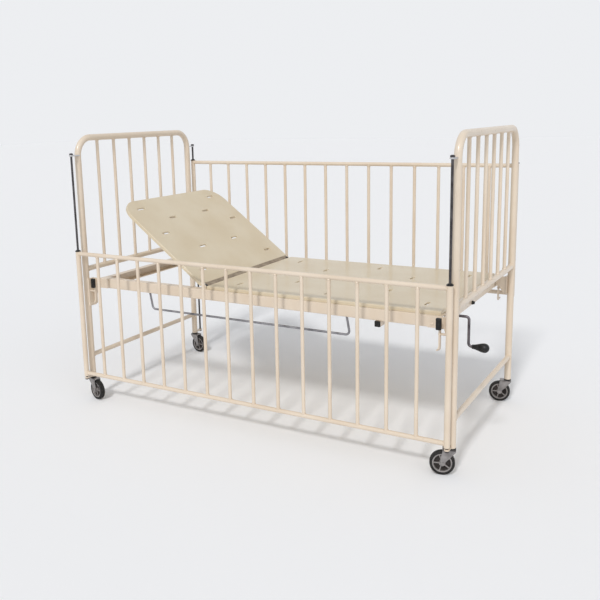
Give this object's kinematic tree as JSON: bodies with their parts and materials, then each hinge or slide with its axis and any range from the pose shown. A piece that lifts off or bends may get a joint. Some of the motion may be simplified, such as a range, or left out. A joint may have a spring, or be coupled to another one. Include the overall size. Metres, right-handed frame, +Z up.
{
  "type": "hospital bed",
  "caption": "Child's hospital bed with bent-tube ends, sliding barred drop sides, a slotted platform with a crank-raised backrest, and swivel castors.",
  "frame": {"origin": "on the floor, under the middle of the whole length and width, crank included", "axes": "+X along the bed to the foot end, +Y across the bed to the rear side, +Z up"},
  "size_m": [1.6209, 0.8224, 1.0827],
  "materials": {
    "cream_paint": "semi-gloss cream enamel",
    "platform_paint": "satin beige enamel",
    "dark_steel": "dark oiled steel",
    "zinc_plate": "bright zinc plate",
    "black_plastic": "moulded black plastic",
    "castor_rubber": "black rubber"
  },
  "bodies": {
    "bed_frame": {"head_hoop": "cream_paint", "foot_hoop": "cream_paint", "head_grille": "cream_paint", "foot_grille": "cream_paint", "head_stretcher": "cream_paint", "foot_stretcher": "cream_paint", "head_end_channel": "cream_paint", "foot_end_channel": "cream_paint", "front_channel": "cream_paint", "rear_channel": "cream_paint", "screw_cross_tube": "cream_paint", "front_tube_cap": "black_plastic", "rear_tube_cap": "black_plastic", "fixed_deck": "platform_paint", "hinge_rod": "dark_steel", "screw_bearing": "zinc_plate", "bag_rail": "dark_steel", "foot_plug": "black_plastic", "front_head_rod": "dark_steel", "front_head_castor_seat": "black_plastic", "rear_head_rod": "dark_steel", "rear_head_castor_seat": "black_plastic", "front_foot_rod": "dark_steel", "front_foot_castor_seat": "black_plastic", "rear_foot_rod": "dark_steel", "rear_foot_castor_seat": "black_plastic"},
    "backrest": {"backrest_panel": "platform_paint", "backrest_frame": "cream_paint"},
    "push_carriage": {"screw_nut": "zinc_plate", "push_arm": "zinc_plate"},
    "crank": {"crank_handle": "dark_steel", "lead_screw": "zinc_plate"},
    "grip": {"crank_grip": "black_plastic"},
    "drop_side_front": {"front_side": "cream_paint", "front_head_bush": "black_plastic", "front_foot_bush": "black_plastic"},
    "drop_side_rear": {"rear_side": "cream_paint", "rear_head_bush": "black_plastic", "rear_foot_bush": "black_plastic"},
    "catch_front_head": {"front_head_catch": "cream_paint", "front_head_catch_grip": "black_plastic"},
    "swivel_front_head": {"front_head_castor_fork": "zinc_plate"},
    "wheel_front_head": {"front_head_hub": "zinc_plate", "front_head_tyre": "castor_rubber"},
    "catch_rear_head": {"rear_head_catch": "cream_paint", "rear_head_catch_grip": "black_plastic"},
    "swivel_rear_head": {"rear_head_castor_fork": "zinc_plate"},
    "wheel_rear_head": {"rear_head_hub": "zinc_plate", "rear_head_tyre": "castor_rubber"},
    "catch_front_foot": {"front_foot_catch": "cream_paint", "front_foot_catch_grip": "black_plastic"},
    "swivel_front_foot": {"front_foot_castor_fork": "zinc_plate"},
    "wheel_front_foot": {"front_foot_hub": "zinc_plate", "front_foot_tyre": "castor_rubber"},
    "catch_rear_foot": {"rear_foot_catch": "cream_paint", "rear_foot_catch_grip": "black_plastic"},
    "swivel_rear_foot": {"rear_foot_castor_fork": "zinc_plate"},
    "wheel_rear_foot": {"rear_foot_hub": "zinc_plate", "rear_foot_tyre": "castor_rubber"}
  },
  "joints": [
    {"name": "backrest_hinge", "type": "hinge", "parent": "bed_frame", "child": "backrest", "pos_m": [-0.239, 0, 0.5131], "axis": [0, 1, 0], "range_deg": [-37, 33]},
    {"name": "push_slide", "type": "slide", "parent": "bed_frame", "child": "push_carriage", "axis": [1, 0, 0], "range_m": [-0.058, 0.065]},
    {"name": "crank_turn", "type": "hinge", "parent": "bed_frame", "child": "crank", "pos_m": [0.744, -0.265, 0.4975], "axis": [1, 0, 0], "range_deg": [-1540, 1375]},
    {"name": "grip_spin", "type": "hinge", "parent": "crank", "child": "grip", "pos_m": [0.756, -0.265, 0.4015], "axis": [1, 0, 0], "continuous": true},
    {"name": "front_side_slide", "type": "slide", "parent": "bed_frame", "child": "drop_side_front", "axis": [0, 0, 1], "range_m": [0, 0.311]},
    {"name": "rear_side_slide", "type": "slide", "parent": "bed_frame", "child": "drop_side_rear", "axis": [0, 0, 1], "range_m": [-0.311, 0]},
    {"name": "catch_pivot_front_head", "type": "hinge", "parent": "bed_frame", "child": "catch_front_head", "pos_m": [-0.748, -0.3585, 0.458], "axis": [1, 0, 0], "range_deg": [0, 10], "stiffness_Nm_per_rad": 1.5},
    {"name": "swivel_turn_front_head", "type": "hinge", "parent": "bed_frame", "child": "swivel_front_head", "pos_m": [-0.794, -0.36, 0.0877], "axis": [0, 0, 1], "continuous": true},
    {"name": "wheel_spin_front_head", "type": "hinge", "parent": "swivel_front_head", "child": "wheel_front_head", "pos_m": [-0.76599, -0.36751, 0.04], "axis": [0.2588, 0.9659, 0], "continuous": true},
    {"name": "catch_pivot_rear_head", "type": "hinge", "parent": "bed_frame", "child": "catch_rear_head", "pos_m": [-0.748, 0.3585, 0.458], "axis": [-1, 0, 0], "range_deg": [0, 10], "stiffness_Nm_per_rad": 1.5},
    {"name": "swivel_turn_rear_head", "type": "hinge", "parent": "bed_frame", "child": "swivel_rear_head", "pos_m": [-0.794, 0.36, 0.0877], "axis": [0, 0, 1], "continuous": true},
    {"name": "wheel_spin_rear_head", "type": "hinge", "parent": "swivel_rear_head", "child": "wheel_rear_head", "pos_m": [-0.76544, 0.35496, 0.04], "axis": [0.1736, 0.9848, 0], "continuous": true},
    {"name": "catch_pivot_front_foot", "type": "hinge", "parent": "bed_frame", "child": "catch_front_foot", "pos_m": [0.68, -0.3585, 0.458], "axis": [1, 0, 0], "range_deg": [0, 10], "stiffness_Nm_per_rad": 1.5},
    {"name": "swivel_turn_front_foot", "type": "hinge", "parent": "bed_frame", "child": "swivel_front_foot", "pos_m": [0.726, -0.36, 0.0877], "axis": [0, 0, 1], "continuous": true},
    {"name": "wheel_spin_front_foot", "type": "hinge", "parent": "swivel_front_foot", "child": "wheel_front_foot", "pos_m": [0.69827, -0.36848, 0.04], "axis": [0.2924, -0.9563, 0], "continuous": true},
    {"name": "catch_pivot_rear_foot", "type": "hinge", "parent": "bed_frame", "child": "catch_rear_foot", "pos_m": [0.68, 0.3585, 0.458], "axis": [-1, 0, 0], "range_deg": [0, 10], "stiffness_Nm_per_rad": 1.5},
    {"name": "swivel_turn_rear_foot", "type": "hinge", "parent": "bed_frame", "child": "swivel_rear_foot", "pos_m": [0.726, 0.36, 0.0877], "axis": [0, 0, 1], "continuous": true},
    {"name": "wheel_spin_rear_foot", "type": "hinge", "parent": "swivel_rear_foot", "child": "wheel_rear_foot", "pos_m": [0.69774, 0.35348, 0.04], "axis": [0.225, -0.9744, 0], "continuous": true}
  ],
  "couplings": [
    {"joint": "push_slide", "follows": "backrest_hinge", "m_per_rad": -0.0396},
    {"joint": "crank_turn", "follows": "backrest_hinge", "ratio": 41.469}
  ]
}
